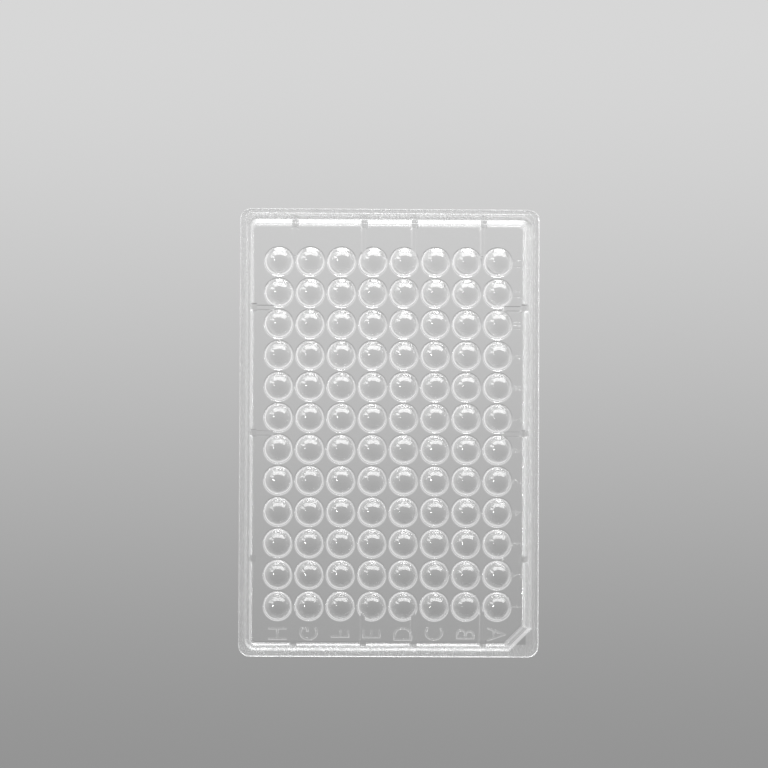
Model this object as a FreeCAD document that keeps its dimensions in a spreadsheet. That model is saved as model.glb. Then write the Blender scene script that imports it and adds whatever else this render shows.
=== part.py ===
import FreeCAD, Part
import math
import os
import Sketcher

# A 96-well round-bottom microplate, moulded in one shot from clear polystyrene.
# Units are millimetres. Z is up, the wells open upwards and the plate stands on its skirt.
# X runs along the long side with column 1 at -X, Y along the short side with row A at +Y.
# The origin is the middle of the footprint, on the surface that the plate stands on.

SIZES = [
    ("plate_length", 127.76),
    ("plate_width", 85.48),
    ("plate_height", 14.35),
    ("flange_height", 2.4),  # the wide foot that automation grips
    ("flange_wall", 1.3),
    ("flange_corner", 3.18),
    ("shelf_thickness", 1.2),  # in a stack this shelf lies on the rim of the plate below
    ("wall_inset", 1.6),  # from the flange's face to the foot of the drafted wall
    ("wall_thickness", 1.3),
    ("wall_corner", 3.3),
    ("wall_draft", 2.0),
    ("a1_corner_cut", 6.6),  # each leg of the cut corner that marks well A1
    ("deck_thickness", 1.2),
    ("rim_height", 0.6),  # the plate's rim and the wells' rims above the deck
    ("column_count", 12),
    ("row_count", 8),
    ("well_pitch", 9.0),
    ("mouth_radius", 3.43),
    ("mouth_chamfer", 0.15),
    ("bowl_radius", 3.175),
    ("well_depth", 11.3),
    ("well_wall", 0.45),
    ("well_floor", 0.9),
    ("rim_width", 0.55),
    ("wall_root", 1.0),  # the fillet under the deck along the walls
    ("well_root", 0.65),  # the fillet under the deck round each well
    ("rib_thickness", 1.2),
    ("rib_start", 1.5),  # how far outside the outermost wells' centre line a rib begins
    ("rib_bottom", 6.0),
    ("rib_foot_thickness", 1.85),
    ("rib_foot_reach", 2.0),  # how far a rib's thick foot stands out from the wall
    ("rib_foot_bottom", 2.4),
    ("side_rib_columns", 4),  # columns of wells from one side rib to the next
    ("end_rib_inner", 7.2),
    ("outer_edge_round", 0.3),
]

# Levels and places that several features share, as expressions over the sheet.
DECK_UNDERSIDE = "(sizes.plate_height - sizes.rim_height - sizes.deck_thickness)"
DECK_MIDDLE = "(sizes.plate_height - sizes.rim_height - sizes.deck_thickness / 2)"
WALL_INSIDE = "(sizes.wall_inset + sizes.wall_thickness)"
WALL_MIDDLE = "(sizes.wall_inset + sizes.wall_thickness / 2)"
DRAFT_AT_TOP = "(sizes.plate_height * tan(sizes.wall_draft))"
INSIDE_CORNER = "(sizes.wall_corner - sizes.wall_thickness)"
INSIDE_CUT = "(sizes.a1_corner_cut - (2 - sqrt(2)) * sizes.wall_thickness)"
HALF_LENGTH = "sizes.plate_length / 2"
HALF_WIDTH = "sizes.plate_width / 2"
LAST_COLUMN = "((sizes.column_count - 1) * sizes.well_pitch / 2)"
LAST_ROW = "((sizes.row_count - 1) * sizes.well_pitch / 2)"
BETWEEN_LAST_ROWS = f"({LAST_ROW} - sizes.well_pitch / 2)"
SIDE_RIB_SPACING = "(sizes.side_rib_columns * sizes.well_pitch)"
OUTER_MOUTH = "(sizes.mouth_radius + sizes.well_wall)"
OUTER_BOWL = "(sizes.bowl_radius + sizes.well_wall)"
CUT_OVERSHOOT = 1.0  # how far a cutting profile runs past the face that it opens

START, END, CENTRE = 1, 2, 3
ORIGIN = (-1, START)
LEVEL_AXIS, UPRIGHT_AXIS = -1, -2  # a sketch's own axes
Vector = FreeCAD.Vector

doc = FreeCAD.newDocument("microplate")
sheet = doc.addObject("Spreadsheet::Sheet", "sizes")
for row, (name, number) in enumerate(SIZES, start=1):
    sheet.set(f"A{row}", name)
    sheet.set(f"B{row}", str(number))
    sheet.setAlias(f"B{row}", name)
doc.recompute()

body = doc.addObject("PartDesign::Body", "well_plate")
body.Label = "well_plate"


def value(expression):
    """An expression's number with the sheet's present sizes."""
    return float(sheet.evalExpression(expression))


def origin_part(role):
    """One of the body's origin planes or axes, as a link."""
    return next(part for part in body.Origin.OriginFeatures if part.Role == role), [""]


def same(a, b):
    return abs(a - b) < 1e-4


# ---- Sketches


def new_sketch(name, role="XY_Plane", **offsets):
    """A sketch on an origin plane, moved by an expression along its own x, y or z."""
    sketch = body.newObject("Sketcher::SketchObject", name)
    sketch.AttachmentSupport = origin_part(role)
    sketch.MapMode = "FlatFace"
    for axis, expression in offsets.items():
        sketch.setExpression(f"AttachmentOffset.Base.{axis}", expression)
    return sketch


def line(sketch, start, end):
    return sketch.addGeometry(Part.LineSegment(Vector(*start, 0), Vector(*end, 0)), False)


def arc(sketch, centre, radius, first_degrees, last_degrees):
    circle = Part.Circle(Vector(*centre, 0), Vector(0, 0, 1), radius)
    first, last = math.radians(first_degrees), math.radians(last_degrees)
    return sketch.addGeometry(Part.ArcOfCircle(circle, first, last), False)


def relate(sketch, kind, *places):
    sketch.addConstraint(Sketcher.Constraint(kind, *places))


def dimension(sketch, name, kind, *places_and_expression):
    """A named dimension that follows an expression over the sheet."""
    *places, expression = places_and_expression
    index = sketch.addConstraint(Sketcher.Constraint(kind, *places, value(expression)))
    sketch.renameConstraint(index, name)
    sketch.setExpression(f"Constraints.{name}", expression)


def join_in_turn(sketch, *curves):
    """Joins each curve's end to the start of the next."""
    for here, following in zip(curves, curves[1:]):
        relate(sketch, "Coincident", here, END, following, START)


def outline_sketch(name, inset, corner, cut=None, level="0"):
    """The footprint less an inset. With cut, the corner beside A1 is a straight 45 degree edge."""
    sketch = new_sketch(name, z=level)
    half_x, half_y = value(f"{HALF_LENGTH} - {inset}"), value(f"{HALF_WIDTH} - {inset}")
    turns, ends = [], []
    for quarter, (side_x, side_y) in enumerate([(1, 1), (-1, 1), (-1, -1), (1, -1)]):
        is_cut = cut is not None and quarter == 1
        leg = value(cut if is_cut else corner)
        on_end = (side_x * half_x, side_y * (half_y - leg))
        on_side = (side_x * (half_x - leg), side_y * half_y)
        start, end = (on_end, on_side) if quarter % 2 == 0 else (on_side, on_end)
        ends.append((start, end))
        if is_cut:
            turns.append(line(sketch, start, end))
        else:
            centre = (on_side[0], on_end[1])
            turns.append(arc(sketch, centre, leg, 90 * quarter, 90 * quarter + 90))
    sides = [line(sketch, ends[i][1], ends[(i + 1) % 4][0]) for i in range(4)]
    for i, turn in enumerate(turns):
        joint = "Coincident" if cut is not None and i == 1 else "Tangent"
        relate(sketch, joint, sides[i - 1], END, turn, START)
        relate(sketch, joint, turn, END, sides[i], START)
        relate(sketch, "Horizontal" if i % 2 == 0 else "Vertical", sides[i])
    rounds = [turn for i, turn in enumerate(turns) if cut is None or i != 1]
    for other in rounds[1:]:
        relate(sketch, "Equal", rounds[0], other)
    dimension(sketch, "corner", "Radius", rounds[0], corner)
    far_side, near_end, near_side, far_end = sides
    dimension(sketch, "far_end", "DistanceX", *ORIGIN, far_end, START, f"{HALF_LENGTH} - {inset}")
    dimension(sketch, "near_end", "DistanceX", near_end, START, *ORIGIN, f"{HALF_LENGTH} - {inset}")
    dimension(sketch, "far_side", "DistanceY", *ORIGIN, far_side, START, f"{HALF_WIDTH} - {inset}")
    dimension(sketch, "near_side", "DistanceY", near_side, START, *ORIGIN, f"{HALF_WIDTH} - {inset}")
    if cut is not None:
        dimension(sketch, "cut_x", "DistanceX", turns[1], END, turns[1], START, cut)
        dimension(sketch, "cut_y", "DistanceY", turns[1], END, turns[1], START, cut)
    return sketch


def bar_sketch(name, along, place, near, far, width, level):
    """A bar that runs out along X or Y from near to far, centred on a line at place."""
    runs_along_x = along == "X"
    sketch = new_sketch(name, **{"y" if runs_along_x else "x": place, "z": level})
    low, high, half = value(near), value(far), value(width) / 2
    corners = [(low, -half), (high, -half), (high, half), (low, half)]
    if not runs_along_x:
        corners = [(x, y) for y, x in corners]
    sides = [line(sketch, corners[i], corners[(i + 1) % 4]) for i in range(4)]
    join_in_turn(sketch, *sides, sides[0])
    long_way, short_way = ("Horizontal", "Vertical") if runs_along_x else ("Vertical", "Horizontal")
    for side, way in zip(sides, (long_way, short_way, long_way)):
        relate(sketch, way, side)
    middle = LEVEL_AXIS if runs_along_x else UPRIGHT_AXIS
    relate(sketch, "Symmetric", sides[0], START, sides[2], END, middle)
    dimension(sketch, "near", f"Distance{along}", *ORIGIN, sides[0], START, near)
    dimension(sketch, "far", f"Distance{along}", *ORIGIN, sides[0], END, far)
    across = "DistanceY" if runs_along_x else "DistanceX"
    dimension(sketch, "width", across, sides[0], START, sides[2], END, width)
    return sketch


def well_sketch(name):
    """A sketch in the upright middle plane of well A1, with the well's axis as its own."""
    return new_sketch(name, "XZ_Plane", x=f"-{LAST_COLUMN}", z=f"-{LAST_ROW}")


def well_outside_sketch():
    """Half the section of a well's outer wall, from its domed foot to its rim above the deck."""
    sketch = well_sketch("well_outside_profile")
    bottom = "sizes.plate_height - sizes.well_depth - sizes.well_floor"
    rim = "sizes.mouth_radius + sizes.rim_width"
    foot, radius, fillet = value(bottom), value(OUTER_BOWL), value("sizes.well_root")
    under, middle, top = value(DECK_UNDERSIDE), value(DECK_MIDDLE), value("sizes.plate_height")
    mouth, rim_radius = value(OUTER_MOUTH), value(rim)
    shoulder = mouth + fillet
    dome = arc(sketch, (0, foot + radius), radius, -90, 0)
    wall = line(sketch, (radius, foot + radius), (mouth, under - fillet))
    root = arc(sketch, (shoulder, under - fillet), fillet, 90, 180)
    in_deck = line(sketch, (shoulder, under), (shoulder, middle))
    step = line(sketch, (shoulder, middle), (rim_radius, middle))
    rim_side = line(sketch, (rim_radius, middle), (rim_radius, top))
    lid = line(sketch, (rim_radius, top), (0, top))
    axis = line(sketch, (0, top), (0, foot))
    wall_aim = sketch.addGeometry(Part.Point(Vector(mouth, top, 0)), True)
    relate(sketch, "PointOnObject", dome, CENTRE, UPRIGHT_AXIS)
    relate(sketch, "PointOnObject", dome, START, UPRIGHT_AXIS)
    relate(sketch, "Tangent", dome, END, wall, START)
    relate(sketch, "Tangent", wall, END, root, END)
    relate(sketch, "Coincident", root, START, in_deck, START)
    relate(sketch, "Vertical", root, CENTRE, root, START)
    join_in_turn(sketch, in_deck, step, rim_side, lid, axis, dome)
    relate(sketch, "PointOnObject", lid, END, UPRIGHT_AXIS)
    for upright, level in ((in_deck, step), (rim_side, lid)):
        relate(sketch, "Vertical", upright)
        relate(sketch, "Horizontal", level)
    relate(sketch, "PointOnObject", wall_aim, START, wall)
    relate(sketch, "PointOnObject", wall_aim, START, lid)
    dimension(sketch, "foot", "DistanceY", *ORIGIN, dome, START, bottom)
    dimension(sketch, "bowl", "Radius", dome, OUTER_BOWL)
    dimension(sketch, "fillet", "Radius", root, "sizes.well_root")
    dimension(sketch, "underside", "DistanceY", *ORIGIN, root, START, DECK_UNDERSIDE)
    dimension(sketch, "middle", "DistanceY", *ORIGIN, in_deck, END, DECK_MIDDLE)
    dimension(sketch, "top", "DistanceY", *ORIGIN, rim_side, END, "sizes.plate_height")
    dimension(sketch, "rim", "DistanceX", *ORIGIN, rim_side, END, rim)
    dimension(sketch, "mouth", "DistanceX", *ORIGIN, wall_aim, START, OUTER_MOUTH)
    return sketch


def well_inside_sketch():
    """Half the section of a well's cavity, with its round bottom and chamfered mouth."""
    sketch = well_sketch("well_inside_profile")
    bottom = "sizes.plate_height - sizes.well_depth"
    chamfer_foot = "sizes.plate_height - sizes.mouth_chamfer"
    chamfer_edge = "sizes.mouth_radius + sizes.mouth_chamfer"
    floor, radius, mouth = value(bottom), value("sizes.bowl_radius"), value("sizes.mouth_radius")
    low, wide, top = value(chamfer_foot), value(chamfer_edge), value("sizes.plate_height")
    bowl = arc(sketch, (0, floor + radius), radius, -90, 0)
    wall = line(sketch, (radius, floor + radius), (mouth, low))
    chamfer = line(sketch, (mouth, low), (wide, top))
    above = line(sketch, (wide, top), (wide, top + CUT_OVERSHOOT))
    lid = line(sketch, (wide, top + CUT_OVERSHOOT), (0, top + CUT_OVERSHOOT))
    axis = line(sketch, (0, top + CUT_OVERSHOOT), (0, floor))
    relate(sketch, "PointOnObject", bowl, CENTRE, UPRIGHT_AXIS)
    relate(sketch, "PointOnObject", bowl, START, UPRIGHT_AXIS)
    relate(sketch, "Tangent", bowl, END, wall, START)
    join_in_turn(sketch, wall, chamfer, above, lid, axis, bowl)
    relate(sketch, "PointOnObject", lid, END, UPRIGHT_AXIS)
    relate(sketch, "Vertical", above)
    relate(sketch, "Horizontal", lid)
    dimension(sketch, "floor", "DistanceY", *ORIGIN, bowl, START, bottom)
    dimension(sketch, "bowl", "Radius", bowl, "sizes.bowl_radius")
    dimension(sketch, "mouth", "DistanceX", *ORIGIN, wall, END, "sizes.mouth_radius")
    dimension(sketch, "chamfer_foot", "DistanceY", *ORIGIN, wall, END, chamfer_foot)
    dimension(sketch, "chamfer_edge", "DistanceX", *ORIGIN, chamfer, END, chamfer_edge)
    dimension(sketch, "top", "DistanceY", *ORIGIN, chamfer, END, "sizes.plate_height")
    dimension(sketch, "lid", "DistanceY", *ORIGIN, above, END, f"sizes.plate_height + {CUT_OVERSHOOT}")
    return sketch


# ---- Features


def new_feature(kind, name, **properties):
    """A feature of the body. Text is an expression over the sheet, and all else a plain setting."""
    feature = body.newObject(f"PartDesign::{kind}", name)
    for key, setting in properties.items():
        if isinstance(setting, str) and key not in ("Mode",):
            feature.setExpression(key, setting)
        else:
            setattr(feature, key, setting)
    return feature


def add(kind, name, **properties):
    """A feature that has to add material."""
    return change(1, kind, name, properties)


def cut(kind, name, **properties):
    """A feature that has to remove material."""
    return change(-1, kind, name, properties)


def change(sign, kind, name, properties):
    before = body.Shape.Volume if body.Tip else 0.0
    feature = new_feature(kind, name, **properties)
    body.Tip = feature
    doc.recompute()
    if (body.Shape.Volume - before) * sign <= 0:
        raise RuntimeError(f"{name} changed the volume from {before} to {body.Shape.Volume}")
    return feature


def edges_where(feature, test):
    """The feature's edges whose every corner passes the test."""
    edges = enumerate(feature.Shape.Edges, start=1)
    return feature, [f"Edge{i}" for i, edge in edges if all(test(v.Point) for v in edge.Vertexes)]


def walls_at(feature, inset):
    """The feature's upright faces round the footprint less an inset."""
    half_x, half_y = value(f"{HALF_LENGTH} - {inset}"), value(f"{HALF_WIDTH} - {inset}")
    names = []
    for i, face in enumerate(feature.Shape.Faces, start=1):
        corners = [vertex.Point for vertex in face.Vertexes]
        reaches_x = any(same(abs(corner.x), half_x) for corner in corners)
        reaches_y = any(same(abs(corner.y), half_y) for corner in corners)
        upright = same(face.normalAt(0, 0).z, 0)
        if upright and (reaches_x or reaches_y):
            names.append(f"Face{i}")
    return feature, names


def row_of(name, axis, spacing, count, **settings):
    """A pattern step that repeats features along an axis."""
    return new_feature("LinearPattern", name, Direction=origin_part(axis), Mode="Spacing",
                       Offset=spacing, Occurrences=count, **settings)


def over_the_grid(operation, name, original):
    """Repeats a feature at well A1 over every column and row."""
    columns = row_of(f"{name}_by_column", "X_Axis", "sizes.well_pitch", "sizes.column_count")
    rows = row_of(f"{name}_by_row", "Y_Axis", "sizes.well_pitch", "sizes.row_count", Reversed=True)
    return operation("MultiTransform", name, Originals=[original], Transformations=[columns, rows])


def add_rib(name, along, place, last_well, wall_place):
    """A rib from just outside the last line of wells to the wall, with a thicker, deeper foot there."""
    start = f"{last_well} + sizes.rib_start"
    into_wall = f"{wall_place} - {WALL_MIDDLE}"
    foot_start = f"{wall_place} - {WALL_INSIDE} - sizes.rib_foot_reach"
    parts = (
        (name, start, "sizes.rib_thickness", "sizes.rib_bottom"),
        (f"{name}_foot", foot_start, "sizes.rib_foot_thickness", "sizes.rib_foot_bottom"),
    )
    return [
        add("Pad", part, Length=f"{DECK_MIDDLE} - {bottom}",
            Profile=bar_sketch(f"{part}_outline", along, place, near, into_wall, thickness, bottom))
        for part, near, thickness, bottom in parts
    ]


# ---- The plate: a solid block on its flange

add("Pad", "flange", Length="sizes.flange_height",
    Profile=outline_sketch("flange_outline", "0", "sizes.flange_corner"))
straight_block = add(
    "Pad", "straight_block", Length="sizes.plate_height",
    Profile=outline_sketch("block_outline", "sizes.wall_inset", "sizes.wall_corner", "sizes.a1_corner_cut"))
block = cut(
    "Draft", "block", Base=walls_at(straight_block, "sizes.wall_inset"), Angle="sizes.wall_draft",
    NeutralPlane=origin_part("XY_Plane"), PullDirection=origin_part("Z_Axis"))


def on_outer_edge(point):
    """On the block's top edge, or on the upper edge of the flange's face."""
    at_face = same(abs(point.x), value(HALF_LENGTH)) or same(abs(point.y), value(HALF_WIDTH))
    at_flange_top = same(point.z, value("sizes.flange_height"))
    return same(point.z, value("sizes.plate_height")) or (at_face and at_flange_top)


cut("Fillet", "outer_edges", Base=edges_where(block, on_outer_edge), Radius="sizes.outer_edge_round")

# ---- Hollow underside: a shallow recess inside the flange, then the space under the deck

cut("Pocket", "flange_recess", Length="sizes.flange_height - sizes.shelf_thickness", Reversed=True,
    Profile=outline_sketch("recess_outline", "sizes.flange_wall", "sizes.flange_corner - sizes.flange_wall"))
straight_hollow = cut(
    "Pocket", "straight_hollow", Length=DECK_UNDERSIDE, Reversed=True,
    Profile=outline_sketch("hollow_outline", WALL_INSIDE, INSIDE_CORNER, INSIDE_CUT))
hollow = add(
    "Draft", "hollow", Base=walls_at(straight_hollow, WALL_INSIDE), Angle="sizes.wall_draft", Reversed=True,
    NeutralPlane=origin_part("XY_Plane"), PullDirection=origin_part("Z_Axis"))
add("Fillet", "wall_roots", Radius="sizes.wall_root",
    Base=edges_where(hollow, lambda point: same(point.z, value(DECK_UNDERSIDE))))

# ---- Deck, sunk inside the plate's rim

cut("Pocket", "sunken_deck", Length="sizes.rim_height",
    Profile=outline_sketch("deck_outline", f"({WALL_INSIDE} + {DRAFT_AT_TOP})", INSIDE_CORNER, INSIDE_CUT,
                           "sizes.plate_height"))

# ---- Ribs: three to each long side, four to each short side

side_rib = add_rib("side_rib", "Y", f"-{SIDE_RIB_SPACING}", LAST_ROW, HALF_WIDTH)
add("MultiTransform", "side_ribs", Originals=side_rib, Transformations=[
    row_of("side_rib_row", "X_Axis", SIDE_RIB_SPACING, 3),
    new_feature("Mirrored", "other_side", MirrorPlane=origin_part("XZ_Plane")),
])
end_rib = []
for name, place in (("end_rib_outer", BETWEEN_LAST_ROWS), ("end_rib_inner", "sizes.end_rib_inner")):
    end_rib += add_rib(name, "X", place, LAST_COLUMN, HALF_LENGTH)
add("MultiTransform", "end_ribs", Originals=end_rib, Transformations=[
    new_feature("Mirrored", "other_half", MirrorPlane=origin_part("XZ_Plane")),
    new_feature("Mirrored", "other_end", MirrorPlane=origin_part("YZ_Plane")),
])

# ---- Wells

outside = well_outside_sketch()
well_outside = add("Revolution", "well_outside", Profile=outside, ReferenceAxis=(outside, ["V_Axis"]))
over_the_grid(add, "wells_outside", well_outside)
inside = well_inside_sketch()
well_inside = cut("Groove", "well_inside", Profile=inside, ReferenceAxis=(inside, ["V_Axis"]))
over_the_grid(cut, "wells_inside", well_inside)

# ---- Checks and export


def bowls(shape, radius):
    """The places, in plan, of the round bottoms with this radius."""
    balls = [face.Surface for face in shape.Faces if isinstance(face.Surface, Part.Sphere)]
    return {(round(ball.Center.x, 2), round(ball.Center.y, 2)) for ball in balls if same(ball.Radius, radius)}


for item in doc.Objects:
    if "Invalid" in item.State or "Error" in item.State:
        raise RuntimeError(f"{item.Name} failed: {item.getStatusString()}")
    if item.isDerivedFrom("Sketcher::SketchObject") and not item.FullyConstrained:
        raise RuntimeError(f"{item.Name} is not fully constrained")
plate = body.Shape
if plate.isNull() or not plate.isValid() or len(plate.Solids) != 1:
    raise RuntimeError("the plate is not one valid solid")
for surface, radius in (("inside", "sizes.bowl_radius"), ("outside", OUTER_BOWL)):
    wells = bowls(plate, value(radius))
    if len(wells) != value("sizes.column_count * sizes.row_count"):
        raise RuntimeError(f"{len(wells)} wells have a round bottom on the {surface}")
os.makedirs("parts", exist_ok=True)
plate.exportStep(f"parts/{body.Label}.step")
print(f"{body.Label}: {plate.Volume:.0f} cubic mm, {len(plate.Faces)} faces")
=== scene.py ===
import math

import bmesh
import bpy
from mathutils import Matrix, Vector


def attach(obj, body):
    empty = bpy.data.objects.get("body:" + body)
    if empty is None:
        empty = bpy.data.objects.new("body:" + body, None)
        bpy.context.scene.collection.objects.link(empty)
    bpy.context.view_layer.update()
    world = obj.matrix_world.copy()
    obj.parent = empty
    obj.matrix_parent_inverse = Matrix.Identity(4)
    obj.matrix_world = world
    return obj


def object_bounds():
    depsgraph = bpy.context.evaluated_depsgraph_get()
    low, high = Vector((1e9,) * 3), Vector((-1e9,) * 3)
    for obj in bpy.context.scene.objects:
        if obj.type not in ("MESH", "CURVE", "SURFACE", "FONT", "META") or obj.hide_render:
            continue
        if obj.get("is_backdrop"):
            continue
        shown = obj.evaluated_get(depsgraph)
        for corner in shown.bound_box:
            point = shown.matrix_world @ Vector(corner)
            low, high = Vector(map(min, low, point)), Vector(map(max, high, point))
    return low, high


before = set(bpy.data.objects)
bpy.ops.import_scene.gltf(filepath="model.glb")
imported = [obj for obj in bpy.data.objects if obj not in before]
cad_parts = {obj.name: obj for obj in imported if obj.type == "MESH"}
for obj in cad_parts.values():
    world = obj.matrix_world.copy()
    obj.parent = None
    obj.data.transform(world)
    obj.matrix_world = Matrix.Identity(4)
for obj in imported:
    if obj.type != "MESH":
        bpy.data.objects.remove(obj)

# A clear 96-well microplate seen from its underside, on a pale floor that is clear from below.
# Metres. Z is up out of the wells, X runs from column 1 to column 12, Y points towards row A.

MM = 0.001
CAD_LOW, CAD_HIGH = (Vector(corner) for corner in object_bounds())
MIDDLE = (CAD_LOW + CAD_HIGH) / 2

# The plate's own sizes, as the solid has them
WELL_PITCH = 9.0 * MM
COLUMNS, ROWS = 12, "ABCDEFGH"
FIRST_COLUMN = -(COLUMNS - 1) * WELL_PITCH / 2
FIRST_ROW = (len(ROWS) - 1) * WELL_PITCH / 2
RIM_HEIGHT = 0.6 * MM  # the plate's rim and the wells' rims above the deck
DECK_TOP = CAD_HIGH.z - RIM_HEIGHT
WELL_DEPTH = 11.3 * MM
WELL_FLOOR = 0.9 * MM
HOLLOW_RADIUS = 3.175 * MM
HOLLOW_CENTRE = CAD_HIGH.z - WELL_DEPTH + HOLLOW_RADIUS
DOME_RADIUS = 3.625 * MM
DOME_CENTRE = CAD_HIGH.z - WELL_DEPTH - WELL_FLOOR + DOME_RADIUS
WELL_TAPER = 0.0314  # how much a well's radius grows for each unit up from its bowl
INSIDE_END = 60.3 * MM  # the wall and the flange lie past these two lines
INSIDE_SIDE = 39.15 * MM

# Raised signs
SIGN_HEIGHT = 0.35 * MM
SIGN_ROOT = 0.02 * MM  # how far a sign is sunk into the deck
SIGN_WIDTH = 0.8  # the width of the characters, as a share of the font's
LETTERS_AT, LETTER_SIZE = -57.45 * MM, 5.3 * MM
NUMBERS_AT, NUMBER_SIZE = 37.3 * MM, 2.8 * MM

# Finish of the plastic
PLATE_POLISH, SIGN_POLISH = 0.06, 0.33  # the most roughness that the cloudy gloss has
RUBS = 0.10  # roughness that a rub mark adds
MATT_ENDS, MATT_SIDES = 0.24, 0.20  # roughness that the wall and the flange add
FLOW_LINE_HEIGHT, PEEL_HEIGHT = 0.014 * MM, 0.0015 * MM
WELL_BOTTOM_PAINTED_SHADE = 0.88  # painted shade in the wells' bottoms, where 1 is clear
PAINTED_SHADE_FROM, PAINTED_SHADE_TO = 1.5 * MM, 4.5 * MM  # the heights between which the painted shade fades out

# The painted glow, an emission that stands in for light led round inside the plastic, where 1 is white
PAINTED_GLOW_FIRST, PAINTED_GLOW_LAST = 0.70, 1.05  # at column 1's end and at column 12's, painted brighter on the lamps' side
PAINTED_GLOW_LOST_OUTSIDE = 0.25  # the share that the wall and the flange lose
PAINTED_GLOW_DEEP = 0.5  # behind several walls

FLOOR_RADIUS = 4.0
UNDERSIDE_LAMPS_AWAY = 0.9


# ---- Shader helpers


def new_material(name):
    """A material with an empty node tree."""
    material = bpy.data.materials.new(name)
    material.use_nodes = True
    material.node_tree.nodes.clear()
    return material, material.node_tree


def new_group(name, inputs, outputs):
    """A shader node group with its sockets. Returns it with its two end nodes."""
    group = bpy.data.node_groups.new(name, "ShaderNodeTree")
    for label, kind in inputs:
        group.interface.new_socket(label, in_out="INPUT", socket_type=f"NodeSocket{kind}")
    for label, kind in outputs:
        group.interface.new_socket(label, in_out="OUTPUT", socket_type=f"NodeSocket{kind}")
    return group, group.nodes.new("NodeGroupInput"), group.nodes.new("NodeGroupOutput")


def node(tree, kind, **settings):
    """A shader node. Settings that name a socket give its value, and the others its properties."""
    made = tree.nodes.new(f"ShaderNode{kind}")
    for key, setting in settings.items():
        label = key.replace("_", " ")
        if label in made.inputs:
            made.inputs[label].default_value = setting
        else:
            setattr(made, key, setting)
    return made


def feed(tree, socket, value):
    """Links a socket to an output, or sets its value."""
    if isinstance(value, bpy.types.NodeSocket):
        tree.links.new(value, socket)
    else:
        socket.default_value = value


def calculate(tree, operation, *values):
    """A Math node on numbers or outputs."""
    made = node(tree, "Math", operation=operation)
    for socket, value in zip(made.inputs, values):
        feed(tree, socket, value)
    return made.outputs[0]


def vector_math(tree, operation, *values):
    """A Vector Math node. Lengths and dot products come out as numbers."""
    made = node(tree, "VectorMath", operation=operation)
    for socket, value in zip(made.inputs, values):
        feed(tree, socket, value)
    return made.outputs[1] if operation in ("LENGTH", "DOT_PRODUCT") else made.outputs[0]


def map_range(tree, value, start, end, low=0.0, high=1.0, curve="LINEAR"):
    """A Map Range node that takes start to low and end to high."""
    made = node(tree, "MapRange", interpolation_type=curve)
    feed(tree, made.inputs["Value"], value)
    feed(tree, made.inputs["From Min"], start)
    feed(tree, made.inputs["From Max"], end)
    feed(tree, made.inputs["To Min"], low)
    feed(tree, made.inputs["To Max"], high)
    return made.outputs[0]


def grey(tone):
    return (tone, tone, tone, 1)


def mix_colours(tree, share, first, second):
    """The first colour where the share is 0, and the second where it is 1."""
    made = node(tree, "MixRGB")
    feed(tree, made.inputs["Fac"], share)
    feed(tree, made.inputs["Color1"], first)
    feed(tree, made.inputs["Color2"], second)
    return made.outputs[0]


def mix_shaders(tree, share, first, second):
    """The first shader where the share is 0, and the second where it is 1."""
    made = node(tree, "MixShader")
    feed(tree, made.inputs["Fac"], share)
    tree.links.new(first, made.inputs[1])
    tree.links.new(second, made.inputs[2])
    return made.outputs[0]


def set_surface(tree, shader):
    output = node(tree, "OutputMaterial")
    tree.links.new(shader, output.inputs["Surface"])


def came_through_floor(tree):
    """1 for what is seen through the floor, else 0. To look through a lamp counts too, so the
    underside's lamps are kept apart."""
    path = node(tree, "LightPath")
    return calculate(tree, "GREATER_THAN", path.outputs["Transparent Depth"], 0.5)


# ---- True normals for the wells, over the flat faces of their mesh


def from_well_axis(group, position, centre_height):
    """The place relative to the centre of the nearest well's bowl."""
    half = WELL_PITCH / 2
    centre = node(group, "CombineXYZ", X=half, Y=half)
    group.links.new(centre_height, centre.inputs["Z"])
    from_centre = vector_math(group, "SUBTRACT", position, centre.outputs[0])
    return vector_math(group, "WRAP", from_centre, (half, half, 1), (-half, -half, -1))


def well_normal(group, parts, out):
    """Straight out from the bowl's centre below it, and square to the tapered wall above."""
    lean = calculate(group, "MULTIPLY", out, -WELL_TAPER)
    direction = node(group, "CombineXYZ")
    group.links.new(parts.outputs["X"], direction.inputs["X"])
    group.links.new(parts.outputs["Y"], direction.inputs["Y"])
    group.links.new(calculate(group, "MINIMUM", parts.outputs["Z"], lean), direction.inputs["Z"])
    return vector_math(group, "NORMALIZE", direction.outputs[0])


def near_well_wall(group, parts, out, radius):
    """1 on the bowl and on the tapered wall above it, else 0."""
    tolerance = 0.1 * MM
    above = calculate(group, "MAXIMUM", parts.outputs["Z"], 0.0)
    below = calculate(group, "MINIMUM", parts.outputs["Z"], 0.0)
    out_squared = calculate(group, "MULTIPLY", out, out)
    below_squared = calculate(group, "MULTIPLY", below, below)
    reach = calculate(group, "SQRT", calculate(group, "ADD", out_squared, below_squared))
    wall = calculate(group, "MULTIPLY_ADD", above, WELL_TAPER, radius)
    return calculate(group, "COMPARE", reach, wall, tolerance)


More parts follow.
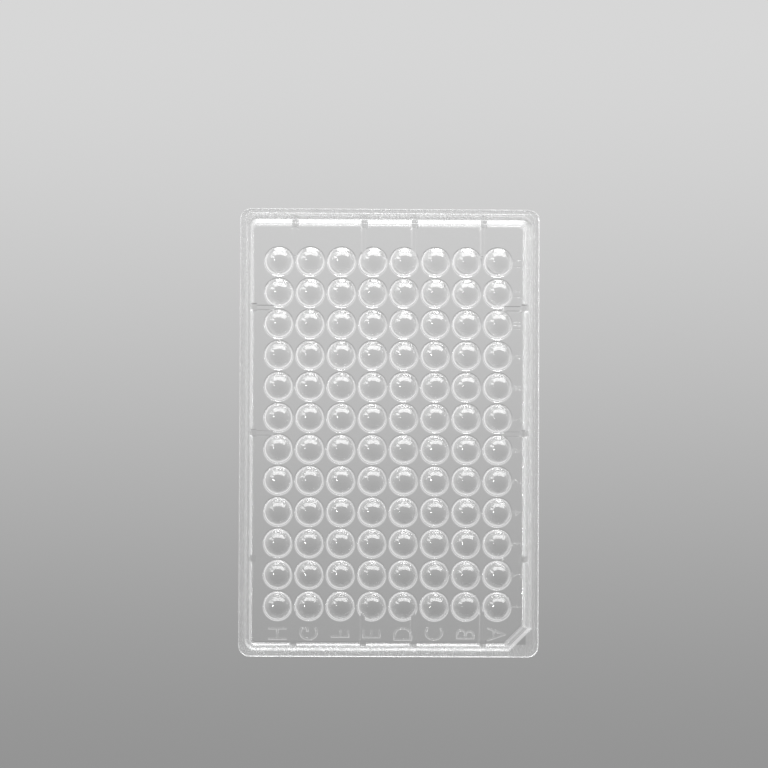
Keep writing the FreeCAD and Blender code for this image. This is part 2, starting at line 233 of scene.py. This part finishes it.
def true_round_group():
    """Exact normals for the wells' bowls and tapered walls, inside or outside as the radius says.
    They take over where the mesh's own normal nearly agrees."""
    group, given, result = new_group(
        "true_round",
        [("Position", "Vector"), ("Normal", "Vector"), ("Centre", "Float"), ("Radius", "Float")],
        [("Normal", "Vector")],
    )
    from_axis = from_well_axis(group, given.outputs["Position"], given.outputs["Centre"])
    parts = node(group, "SeparateXYZ")
    group.links.new(from_axis, parts.inputs[0])
    out = vector_math(group, "LENGTH", vector_math(group, "MULTIPLY", from_axis, (1, 1, 0)))
    near = near_well_wall(group, parts, out, given.outputs["Radius"])
    turn = node(group, "VectorTransform", vector_type="NORMAL", convert_from="OBJECT", convert_to="WORLD")
    group.links.new(well_normal(group, parts, out), turn.inputs[0])
    agree = vector_math(group, "DOT_PRODUCT", given.outputs["Normal"], turn.outputs[0])
    sure = map_range(group, calculate(group, "ABSOLUTE", agree), 0.970, 0.985)
    exact = node(group, "VectorMath", operation="SCALE")
    group.links.new(turn.outputs[0], exact.inputs[0])
    group.links.new(calculate(group, "SIGN", agree), exact.inputs["Scale"])
    blend = node(group, "Mix", data_type="VECTOR")
    share, mesh_normal, true_normal = blend.inputs[0], blend.inputs[4], blend.inputs[5]
    group.links.new(calculate(group, "MULTIPLY", sure, near), share)
    group.links.new(given.outputs["Normal"], mesh_normal)
    group.links.new(exact.outputs[0], true_normal)
    group.links.new(vector_math(group, "NORMALIZE", blend.outputs[1]), result.inputs["Normal"])
    return group


# ---- Moulded surface


def pattern(group, position, **settings):
    """A noise pattern on the place."""
    noise = node(group, "TexNoise", **settings)
    group.links.new(position, noise.inputs["Vector"])
    return noise.outputs[0]


def surface_height(group, position):
    """Flow lines of the melt and a faint orange peel, in metres."""
    flow = pattern(group, position, Scale=110.0, Detail=2.0, Roughness=0.5)
    peel = pattern(group, position, Scale=900.0, Detail=1.0)
    height = calculate(group, "MULTIPLY", flow, FLOW_LINE_HEIGHT)
    return calculate(group, "MULTIPLY_ADD", peel, PEEL_HEIGHT, height)


def smooth_finish(group, position, polish, rubs):
    """A cloudy gloss with fine slanted rub marks, as roughness."""
    stretch = node(group, "Mapping", Rotation=(0, 0, math.radians(35)), Scale=(1.0, 14.0, 1.0))
    group.links.new(position, stretch.inputs["Vector"])
    scratches = pattern(group, stretch.outputs[0], Scale=260.0, Detail=3.0, Roughness=0.7)
    marks = calculate(group, "MULTIPLY", map_range(group, scratches, 0.62, 0.72), rubs)
    cloud = pattern(group, position, Scale=60.0, Detail=4.0, Roughness=0.6)
    haze = calculate(group, "MULTIPLY", cloud, polish)
    return calculate(group, "ADD", haze, marks)


def past_line(group, along, line):
    """1 past the line on either side of the middle, else 0."""
    past = calculate(group, "SUBTRACT", calculate(group, "ABSOLUTE", along), line)
    return calculate(group, "GREATER_THAN", past, 0.0)


def moulded_surface_group():
    """The plastic's surface: its height in metres, its roughness, the strength of the painted glow that
    stands in for light led round inside it, and the painted shade that darkens the wells' bottoms."""
    group, given, result = new_group(
        "moulded_surface",
        [("Position", "Vector"), ("Polish", "Float"), ("Rubs", "Float")],
        [("Height", "Float"), ("Roughness", "Float"), ("Painted Glow", "Float"), ("Tint", "Color")],
    )
    position = given.outputs["Position"]
    parts = node(group, "SeparateXYZ")
    group.links.new(position, parts.inputs[0])
    at_end = past_line(group, parts.outputs["X"], INSIDE_END)
    at_side = past_line(group, parts.outputs["Y"], INSIDE_SIDE)
    outside = calculate(group, "MAXIMUM", at_end, at_side)

    matt_end = calculate(group, "MULTIPLY", at_end, MATT_ENDS)
    matt_side = calculate(group, "MULTIPLY", at_side, MATT_SIDES)
    matt = calculate(group, "MAXIMUM", matt_end, matt_side)
    smooth = smooth_finish(group, position, given.outputs["Polish"], given.outputs["Rubs"])
    roughness = calculate(group, "ADD", smooth, matt)

    # Painted glow: brighter towards column 12's end, on the lamps' side, and dimmer at the wall and the
    # flange.
    along = map_range(group, parts.outputs["X"], CAD_LOW.x, CAD_HIGH.x, PAINTED_GLOW_FIRST, PAINTED_GLOW_LAST)
    kept = calculate(group, "MULTIPLY_ADD", outside, -PAINTED_GLOW_LOST_OUTSIDE, 1.0)
    painted_glow = calculate(group, "MULTIPLY", along, kept)

    # Painted shade: the wells' bottoms are darker, fading out upwards.
    bottom = map_range(group, parts.outputs["Z"], PAINTED_SHADE_FROM, PAINTED_SHADE_TO, WELL_BOTTOM_PAINTED_SHADE, 1.0, "SMOOTHSTEP")
    painted_shade = calculate(group, "MAXIMUM", bottom, outside)

    group.links.new(surface_height(group, position), result.inputs["Height"])
    group.links.new(roughness, result.inputs["Roughness"])
    group.links.new(painted_glow, result.inputs["Painted Glow"])
    group.links.new(painted_shade, result.inputs["Tint"])
    return group


# ---- Materials


def plastic_normal(tree, position, height, true_round):
    """The surface's own bumps over the wells' true roundness, first outside and then inside."""
    face = node(tree, "NewGeometry")
    normal = face.outputs["Normal"]
    for centre, radius in ((DOME_CENTRE, DOME_RADIUS), (HOLLOW_CENTRE, HOLLOW_RADIUS)):
        well = node(tree, "Group", node_tree=true_round)
        well.inputs["Centre"].default_value = centre
        well.inputs["Radius"].default_value = radius
        tree.links.new(position, well.inputs["Position"])
        tree.links.new(normal, well.inputs["Normal"])
        normal = well.outputs["Normal"]
    bump = node(tree, "Bump", Distance=1.0)
    tree.links.new(normal, bump.inputs["Normal"])
    tree.links.new(height, bump.inputs["Height"])
    return bump.outputs[0]


def clear_polystyrene(name, surface, true_round, polish):
    """Glossy clear plastic that lets the lamps through. Where a ray has been reflected twice or more
    inside it, the surface shows a painted glow, an emission in place of the light that is led round to a
    real edge."""
    material, tree = new_material(name)
    place = node(tree, "TexCoord")
    position = place.outputs["Object"]
    finish = node(tree, "Group", node_tree=surface)
    finish.inputs["Polish"].default_value = polish
    finish.inputs["Rubs"].default_value = RUBS
    tree.links.new(position, finish.inputs["Position"])

    plastic = node(tree, "BsdfPrincipled", IOR=1.59, Transmission_Weight=1.0)
    # The base colour carries the painted shade of the wells' bottoms.
    tree.links.new(finish.outputs["Tint"], plastic.inputs["Base Color"])
    tree.links.new(finish.outputs["Roughness"], plastic.inputs["Roughness"])
    normal = plastic_normal(tree, position, finish.outputs["Height"], true_round)
    tree.links.new(normal, plastic.inputs["Normal"])

    path = node(tree, "LightPath")
    # Painted glow: where a ray has been reflected twice or more, an emission takes the plastic's place,
    # weaker behind several walls.
    painted_glow_share = calculate(tree, "GREATER_THAN", path.outputs["Glossy Depth"], 1.5)
    few_walls = calculate(tree, "LESS_THAN", path.outputs["Transmission Depth"], 3.5)
    strength = map_range(tree, few_walls, 0.0, 1.0, PAINTED_GLOW_DEEP, finish.outputs["Painted Glow"])
    painted_glow_shader = node(tree, "Emission", Strength=1.0)
    tree.links.new(strength, painted_glow_shader.inputs["Color"])
    plastic_with_painted_glow = mix_shaders(tree, painted_glow_share, plastic.outputs["BSDF"], painted_glow_shader.outputs[0])

    lit_through = node(tree, "BsdfTransparent", Color=(0.93, 0.94, 0.94, 1))
    shadow = path.outputs["Is Shadow Ray"]
    set_surface(tree, mix_shaders(tree, shadow, plastic_with_painted_glow, lit_through.outputs["BSDF"]))
    return material


def floor_material():
    """Pale and matt from above, and clear from below."""
    material, tree = new_material("pale_floor")
    place = node(tree, "TexCoord")
    grain = pattern(tree, place.outputs["Object"], Scale=12.0, Detail=5.0)
    matt = node(tree, "BsdfDiffuse")
    tree.links.new(map_range(tree, grain, 0.0, 1.0, low=0.77, high=0.81), matt.inputs["Color"])
    clear = node(tree, "BsdfTransparent")
    path = node(tree, "LightPath")
    side = node(tree, "NewGeometry")
    unseen = calculate(tree, "MAXIMUM", came_through_floor(tree), side.outputs["Backfacing"])
    unseen = calculate(tree, "MAXIMUM", unseen, path.outputs["Is Shadow Ray"])
    set_surface(tree, mix_shaders(tree, unseen, matt.outputs["BSDF"], clear.outputs["BSDF"]))
    return material


# ---- Raised signs


def text_shape(name, words):
    """A mesh of the words, about one unit high, with sloped edges."""
    slope = 0.022
    curve = bpy.data.curves.new(name, "FONT")
    curve.body = words
    curve.align_x, curve.align_y = "CENTER", "CENTER"
    curve.size = 1.0
    curve.extrude = 0.03
    curve.bevel_depth = slope
    curve.offset = -slope
    curve.bevel_resolution = 1
    text = bpy.data.objects.new(name, curve)
    bpy.context.scene.collection.objects.link(text)
    bpy.context.view_layer.update()
    shape = bpy.data.meshes.new_from_object(text.evaluated_get(bpy.context.evaluated_depsgraph_get()))
    bpy.data.objects.remove(text)
    return shape


def place_sign(shape, centre, height):
    """Brings a text mesh to its size and its place on the deck."""
    low = Vector([min(v.co[i] for v in shape.vertices) for i in range(3)])
    high = Vector([max(v.co[i] for v in shape.vertices) for i in range(3)])
    scale = height / (high.y - low.y)
    thickness = SIGN_HEIGHT / (high.z - low.z)
    middle = Vector(((low.x + high.x) / 2, (low.y + high.y) / 2, low.z))
    place = Matrix.Translation(centre) @ Matrix.Diagonal((scale * SIGN_WIDTH, scale, thickness, 1))
    shape.transform(place @ Matrix.Translation(-middle))


def close_shape(shape):
    """Merges doubles and turns the faces outward."""
    bm = bmesh.new()
    bm.from_mesh(shape)
    bmesh.ops.remove_doubles(bm, verts=bm.verts, dist=0.001 * MM)
    bmesh.ops.recalc_face_normals(bm, faces=bm.faces)
    bm.to_mesh(shape)
    bm.free()


def raised_sign(name, words, centre, height, material):
    """A raised sign on the deck, read from above with well A1 at the upper left."""
    shape = text_shape(name, words)
    place_sign(shape, centre, height)
    close_shape(shape)
    shape.materials.clear()
    shape.materials.append(material)
    sign = bpy.data.objects.new(name, shape)
    bpy.context.scene.collection.objects.link(sign)
    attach(sign, "root")


def add_signs(material):
    """A letter at each row, beside column 1, and a number at each column, beside row A."""
    sunk = DECK_TOP - SIGN_ROOT
    for row, letter in enumerate(ROWS):
        centre = Vector((LETTERS_AT, FIRST_ROW - row * WELL_PITCH, sunk))
        raised_sign(f"row_sign_{letter}", letter, centre, LETTER_SIZE, material)
    for column in range(COLUMNS):
        number = str(column + 1)
        centre = Vector((FIRST_COLUMN + column * WELL_PITCH, NUMBERS_AT, sunk))
        raised_sign(f"column_sign_{number}", number, centre, NUMBER_SIZE, material)


# ---- Floor, lamps, world and camera


def add_floor():
    bm = bmesh.new()
    bmesh.ops.create_circle(bm, cap_ends=True, segments=64, radius=FLOOR_RADIUS)
    shape = bpy.data.meshes.new("floor")
    bm.to_mesh(shape)
    bm.free()
    shape.materials.append(floor_material())
    floor = bpy.data.objects.new("floor", shape)
    bpy.context.scene.collection.objects.link(floor)
    floor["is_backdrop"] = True


def softbox(name, direction, distance, width, height, brightness):
    """A rectangular lamp that faces the plate from a direction. Brightness 1 shows as white."""
    lamp = bpy.data.lights.new(name, "AREA")
    lamp.shape = "RECTANGLE"
    lamp.size, lamp.size_y = width, height
    lamp.energy = brightness * math.pi * width * height
    holder = bpy.data.objects.new(name, lamp)
    bpy.context.scene.collection.objects.link(holder)
    direction = Vector(direction).normalized()
    facing = direction.to_track_quat("Z", "Y").to_matrix().to_4x4()
    holder.matrix_world = Matrix.Translation(MIDDLE + direction * distance) @ facing
    holder.visible_camera = False
    return holder


def underside_lamp(name, angle, bearing, width, height, brightness):
    """A lamp for what is seen through the floor, which gives nothing to a view from above. Its
    angle is from straight down, and its bearing is 0 towards +X and 90 towards +Y."""
    angle, bearing = math.radians(angle), math.radians(bearing)
    out = math.sin(angle)
    direction = (out * math.cos(bearing), out * math.sin(bearing), -math.cos(angle))
    holder = softbox(name, direction, UNDERSIDE_LAMPS_AWAY, width, height, brightness)
    holder.visible_diffuse = False
    holder.data.use_nodes = True
    tree = holder.data.node_tree
    tree.links.new(came_through_floor(tree), tree.nodes["Emission"].inputs["Strength"])


def add_lamps():
    """One lamp for the view from above. The others are for the underside: a window in three
    parts, and a small light."""
    overhead = softbox("overhead", (-0.3, -0.4, 1.0), 1.6, 1.6, 1.6, 1.6)
    overhead.visible_transmission = False
    overhead.visible_glossy = False
    underside_lamp("window", angle=72, bearing=4, width=2.0, height=0.85, brightness=3.8)
    underside_lamp("window_top", angle=110, bearing=4, width=0.7, height=0.5, brightness=9.5)
    underside_lamp("window_side", angle=72, bearing=-64, width=0.22, height=0.7, brightness=3.8)
    underside_lamp("small_light", angle=44, bearing=-90, width=0.10, height=0.10, brightness=90.0)


def backdrop(tree):
    """Straight up it darkens from column 12's side to column 1's. Elsewhere it is pale, and less
    so under the horizon."""
    place = node(tree, "TexCoord")
    parts = node(tree, "SeparateXYZ")
    tree.links.new(place.outputs["Generated"], parts.inputs[0])
    along = map_range(tree, parts.outputs["X"], -0.05, 0.12, curve="SMOOTHSTEP")
    over_plate = mix_colours(tree, along, grey(0.29), grey(0.68))
    around = map_range(tree, parts.outputs["Z"], -0.3, 0.3, low=0.50, high=0.85)
    straight_up = map_range(tree, parts.outputs["Z"], 0.45, 0.985)
    return mix_colours(tree, straight_up, around, over_plate)


def set_world():
    """The camera, reflections and the clear plastic see the backdrop. The rest gets an even light."""
    world = bpy.data.worlds.new("studio")
    world.use_nodes = True
    tree = world.node_tree
    tree.nodes.clear()
    path = node(tree, "LightPath")
    viewed = calculate(tree, "MAXIMUM", path.outputs["Is Camera Ray"], path.outputs["Is Glossy Ray"])
    viewed = calculate(tree, "MAXIMUM", viewed, path.outputs["Is Transmission Ray"])
    sky = node(tree, "Background")
    output = node(tree, "OutputWorld")
    tree.links.new(mix_colours(tree, viewed, grey(0.55), backdrop(tree)), sky.inputs["Color"])
    tree.links.new(sky.outputs[0], output.inputs["Surface"])
    bpy.context.scene.world = world


def add_camera():
    """Below the plate, with its long side upright in view and the end at column 12 on top."""
    distance, focal_length = 1.40, 229.0
    aim = MIDDLE + Vector((14.14 * MM, -1.34 * MM, 0))
    turn, lean = math.radians(1.9), math.radians(2.35)
    across, along = math.sin(turn), math.sin(lean)
    forward = Vector((along, across, math.sqrt(1 - along ** 2 - across ** 2)))
    right = Vector((0, 1, 0))
    right = (right - forward * right.dot(forward)).normalized()
    up = right.cross(forward)
    level = Matrix((right, up, -forward)).transposed().to_4x4()
    roll = Matrix.Rotation(math.radians(0.3), 4, "Z")
    data = bpy.data.cameras.new("camera")
    data.sensor_width = 36.0
    data.lens = focal_length
    data.clip_start = 0.01
    camera = bpy.data.objects.new("camera", data)
    bpy.context.scene.collection.objects.link(camera)
    camera.matrix_world = Matrix.Translation(aim - forward * distance) @ level @ roll
    bpy.context.scene.camera = camera


surface = moulded_surface_group()
true_round = true_round_group()
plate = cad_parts["well_plate"]
plate.data.materials.clear()
plate.data.materials.append(clear_polystyrene("clear_polystyrene", surface, true_round, PLATE_POLISH))
add_signs(clear_polystyrene("matt_signs", surface, true_round, SIGN_POLISH))
add_floor()
add_lamps()
set_world()
add_camera()
bpy.context.scene.view_settings.view_transform = "Standard"
